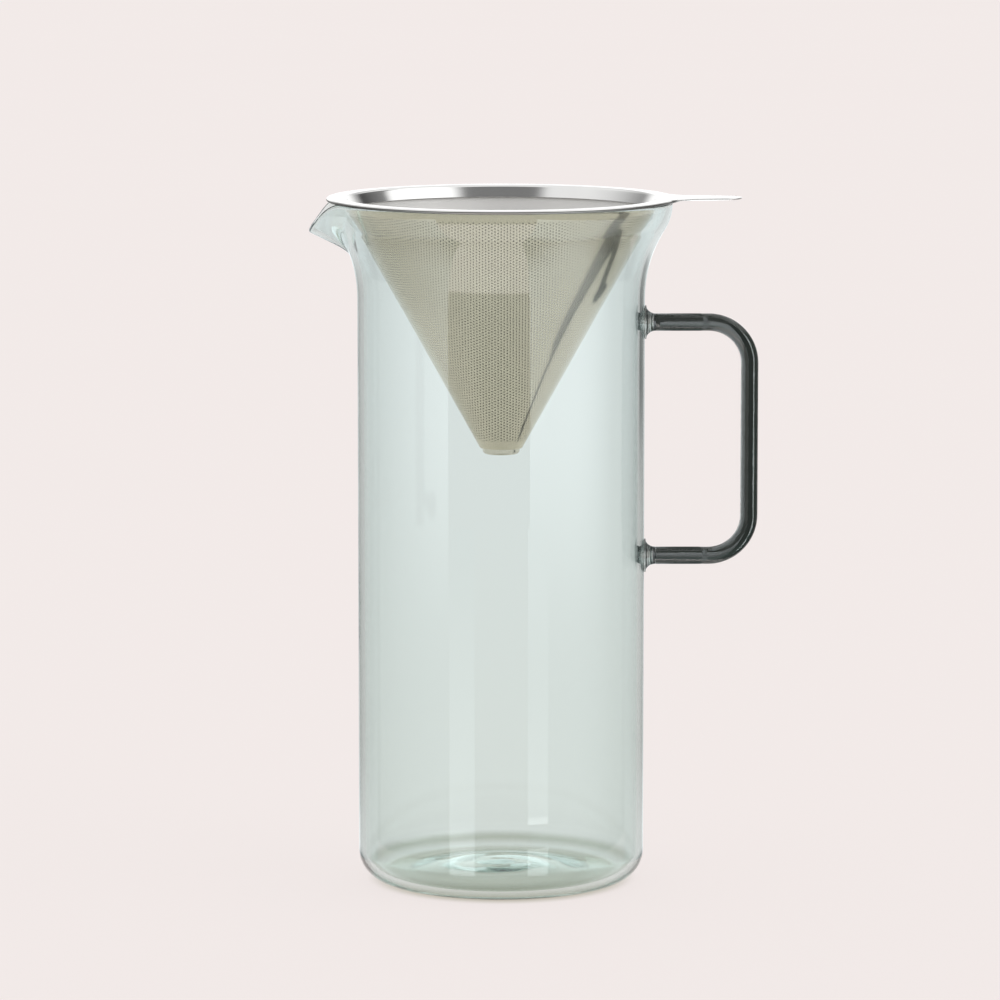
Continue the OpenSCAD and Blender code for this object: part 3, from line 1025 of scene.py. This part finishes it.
dim = glow("dim_card", card_glow)
strip_reach = 95 * mm
gap_low, gap_high = 4.5 * mm, 13.3 * mm
strip_low = -10 * mm
spout_panel = glow("lit_near_spout", upright_glow(3.2, -0.12, 0.0))
handle_panel = glow("lit_near_handle", upright_glow(3.6, -0.08, -0.01))
spout_strip = glow("strip_near_spout", low_glow(0.8, 0), strip_reach)
handle_strip = glow("strip_near_handle", low_glow(2.2, 2.2), strip_reach)
handle_foot = glow("foot_near_handle", low_glow(2.2, 0), strip_reach)
for name, azimuth, distance, width, low, high, material in (
    ("panel_near_spout", -75, 0.11, 0.182, 0, screen_h, spout_panel),
    ("panel_near_handle", 62, 0.11, 0.204, 0, screen_h, handle_panel),
    ("card_behind_spout", -card_turn, card_away, card_w, 0, card_h, dim),
    ("card_behind_handle", card_turn, card_away, card_w, 0, card_h, dim),
    ("strip_near_spout", -25.3, 0.1225, 0.036, strip_low, strip_h, spout_strip),
    ("strip_near_handle", 23.8, 0.123, 0.029, gap_high, strip_h, handle_strip),
    ("foot_near_handle", 23.8, 0.123, 0.029, strip_low, gap_low, handle_foot),
):
    only_for(screen(name, azimuth, distance, width, low, high, material), True, False)

line_start, line_x, line_end = grip_x - 3.2 * mm, grip_x + 14.1 * mm, grip_x + 26.2 * mm
line_y = -14 * mm
line_low, line_high = 0.08, 0.21
line_corners = [(x, line_y, z) for x, z in (
    (line_start, line_low), (line_end, line_low), (line_end, line_high), (line_start, line_high))]
only_for(flat("line_beside_grip", line_corners, glow("line_beside_grip", line_glow)), True, False)

# %% [markdown]
# The back face of the glass mirrors too, but that light leaves through the front face, so the cards don't
# stop it. Three shades do. They are there only for light that was mirrored and has passed a certain
# number of glass faces: two stand where the cards are and darken the edges, and a narrow one beyond the
# handle gives the steel cone a broad dark image of it.

# %% Shades for light that was mirrored behind glass
def shade(name, least, most, cover):
    """A dim surface, but only for light that was mirrored and passed glass faces between two counts."""
    tree = finish(name)
    _, _, y, z = tree.place()
    mirrored = tree.node("ShaderNodeLightPath", output="Glossy Depth")
    passed = mirrored.also("Transmission Depth")
    in_count = passed.math("GREATER_THAN", least) * passed.math("LESS_THAN", most)
    there = mirrored.math("GREATER_THAN", 0.5) * in_count
    tree.surface(
        Base_Color=black, Roughness=1.0, Specular_IOR_Level=0.0, Emission_Color=(0.95, 1.0, 0.93, 1),
        Emission_Strength=0.05, Alpha=there * cover(y, z))
    return tree.done()


def beside_handle(y, z):
    """Full between the arms in front. Further back only a line, from the flare down, that fades."""
    at_grip = z.ramp(lower_arm_z - 8 * mm, lower_arm_z) * (1 - z.ramp(upper_arm_z, upper_arm_z + 12 * mm))
    fading = z.ramp(upper_arm_z - 75 * mm, upper_arm_z - 15 * mm)
    below_flare = fading * (1 - z.ramp(upper_arm_z + 14 * mm, upper_arm_z + 20 * mm))
    edge_line = y.ramp(16 * mm, 19 * mm) * (1 - y.ramp(30 * mm, 37 * mm)) * below_flare
    return (0.2 + 0.8 * at_grip) * (1 - y.ramp(8 * mm, 16 * mm) * 0.85) + edge_line * 0.62


def beside_spout(y, z):
    """Faint, and fainter further back."""
    return 0.3 - y.ramp(2 * mm, 8 * mm) * 0.2


def beyond_handle(y, z):
    """Even all over."""
    return 0.8


for name, azimuth, distance, width, low, high, least, most, cover in (
    ("shade_by_handle", card_turn, card_away, card_w, 0, card_h, 1.5, 2.5, beside_handle),
    ("shade_by_spout", -card_turn, card_away, card_w, 0, card_h, 1.5, 2.5, beside_spout),
    ("shade_beyond_handle", 90, 0.105, 0.018, 0.1, 0.21, 2.5, 9.5, beyond_handle),
):
    cloth = shade(name, least, most, cover)
    only_for(screen(name, azimuth, distance, width, low, high, cloth), False, True)

# %% [markdown]
# Light that enters thick glass runs along inside it for many turns before it leaves, so the paths may be
# long.

# %% Long light paths
paths = bpy.context.scene.cycles
paths.max_bounces = paths.glossy_bounces = paths.transmission_bounces = 32
paths.transparent_max_bounces = 16
print("bounces:", paths.max_bounces)

# %% [markdown]
# ## Camera
# A long lens from a little above, level with the picture's middle. The distance and height follow from
# how much the rings at the rim and the base open, and the lens from how large the object is in the frame.

# %% Camera
picture_side = 1000
sensor = 36.0
lens_pixels = 5419.0
camera_data = bpy.data.cameras.new("camera")
camera_data.sensor_width = sensor
camera_data.lens = lens_pixels * sensor / picture_side
camera_data.clip_end = 100
camera = bpy.data.objects.new("camera", camera_data)
eye = np.array([-0.4, -1877.0, 390.3]) * mm
aim = np.array([-0.4, 0.0, 133.8]) * mm
pitch = math.atan2(aim[2] - eye[2], aim[1] - eye[1])
camera.location = eye
camera.rotation_euler = (math.pi / 2 + pitch, 0, 0)
bpy.context.scene.collection.objects.link(camera)
bpy.context.scene.camera = camera
bpy.context.scene.view_settings.view_transform = "Standard"
print(f"lens {camera_data.lens:.0f} mm, pitch {math.degrees(pitch):.1f} degrees")
